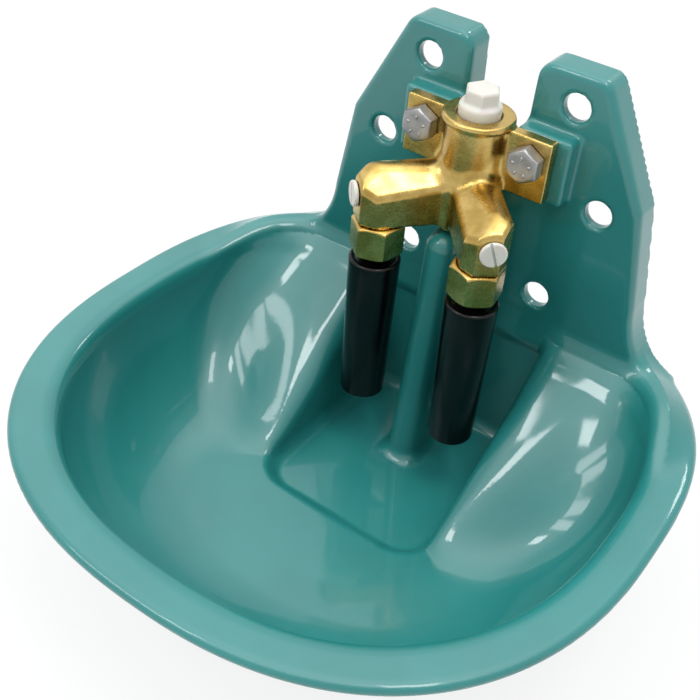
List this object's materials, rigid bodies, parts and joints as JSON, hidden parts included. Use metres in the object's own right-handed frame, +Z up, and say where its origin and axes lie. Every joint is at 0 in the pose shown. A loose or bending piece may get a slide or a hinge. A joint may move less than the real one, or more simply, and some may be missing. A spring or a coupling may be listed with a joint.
{
  "type": "livestock drinking bowl",
  "caption": "Wall-hung oval drinking bowl with a sunk pocket, an eared back plate and a brass valve with two push tubes.",
  "frame": {"origin": "on the wall plane, on the symmetry line, at mid thickness of the bowl's rim", "axes": "+X along the bowl's width to the right as seen from the front, +Y into the wall, +Z up"},
  "size_m": [0.3148, 0.274, 0.232],
  "materials": {
    "enamel": "blue-green glossy enamel",
    "brass": "blasted casting",
    "zinc": "zinc plated",
    "white_plastic": "satin",
    "black_plastic": "satin black",
    "stainless": "drawn",
    "rubber": "matt"
  },
  "bodies": {
    "drinker": {"bowl": "enamel", "valve_body": "brass", "left_lug_bolt": "zinc", "right_lug_bolt": "zinc", "left_union_nut": "brass", "right_union_nut": "brass", "left_valve_seat": "stainless", "right_valve_seat": "stainless", "left_return_spring": "stainless", "right_return_spring": "stainless", "left_throttle_seal": "rubber", "right_throttle_seal": "rubber", "inlet_strainer": "stainless"},
    "plug": {"inlet_plug": "white_plastic"},
    "left_ring": {"left_tilt_ring": "brass"},
    "left_tube": {"left_drink_tube": "black_plastic"},
    "left_stem": {"left_valve_stem": "stainless", "left_valve_disc": "rubber"},
    "left_throttle": {"left_throttle_screw": "white_plastic"},
    "right_ring": {"right_tilt_ring": "brass"},
    "right_tube": {"right_drink_tube": "black_plastic"},
    "right_stem": {"right_valve_stem": "stainless", "right_valve_disc": "rubber"},
    "right_throttle": {"right_throttle_screw": "white_plastic"}
  },
  "joints": [
    {"name": "inlet_plug_lift", "type": "slide", "parent": "drinker", "child": "plug", "axis": [0, 0, 1], "range_m": [0, 0.022]},
    {"name": "left_tilt", "type": "hinge", "parent": "drinker", "child": "left_ring", "pos_m": [-0.0287, -0.06748, 0.059], "axis": [1, 0, 0], "range_deg": [-12, 12], "stiffness_Nm_per_rad": 0.3},
    {"name": "left_swing", "type": "hinge", "parent": "left_ring", "child": "left_tube", "pos_m": [-0.0287, -0.06748, 0.059], "axis": [0, 1, 0], "range_deg": [-4, 5], "stiffness_Nm_per_rad": 0.3},
    {"name": "left_lift", "type": "slide", "parent": "drinker", "child": "left_stem", "axis": [0, 0, 1], "range_m": [0, 0.0025], "stiffness_N_per_m": 600, "deforming": ["left_return_spring"]},
    {"name": "left_throttle_turn", "type": "hinge", "parent": "drinker", "child": "left_throttle", "pos_m": [-0.03816, -0.07452, 0.0825], "axis": [-0.6508, -0.7593, 0], "range_deg": [0, 720]},
    {"name": "right_tilt", "type": "hinge", "parent": "drinker", "child": "right_ring", "pos_m": [0.0287, -0.06748, 0.059], "axis": [1, 0, 0], "range_deg": [-12, 12], "stiffness_Nm_per_rad": 0.3},
    {"name": "right_swing", "type": "hinge", "parent": "right_ring", "child": "right_tube", "pos_m": [0.0287, -0.06748, 0.059], "axis": [0, 1, 0], "range_deg": [-5, 4], "stiffness_Nm_per_rad": 0.3},
    {"name": "right_lift", "type": "slide", "parent": "drinker", "child": "right_stem", "axis": [0, 0, 1], "range_m": [0, 0.0025], "stiffness_N_per_m": 600, "deforming": ["right_return_spring"]},
    {"name": "right_throttle_turn", "type": "hinge", "parent": "drinker", "child": "right_throttle", "pos_m": [0.03816, -0.07452, 0.0825], "axis": [0.6508, -0.7593, 0], "range_deg": [0, 720]}
  ]
}
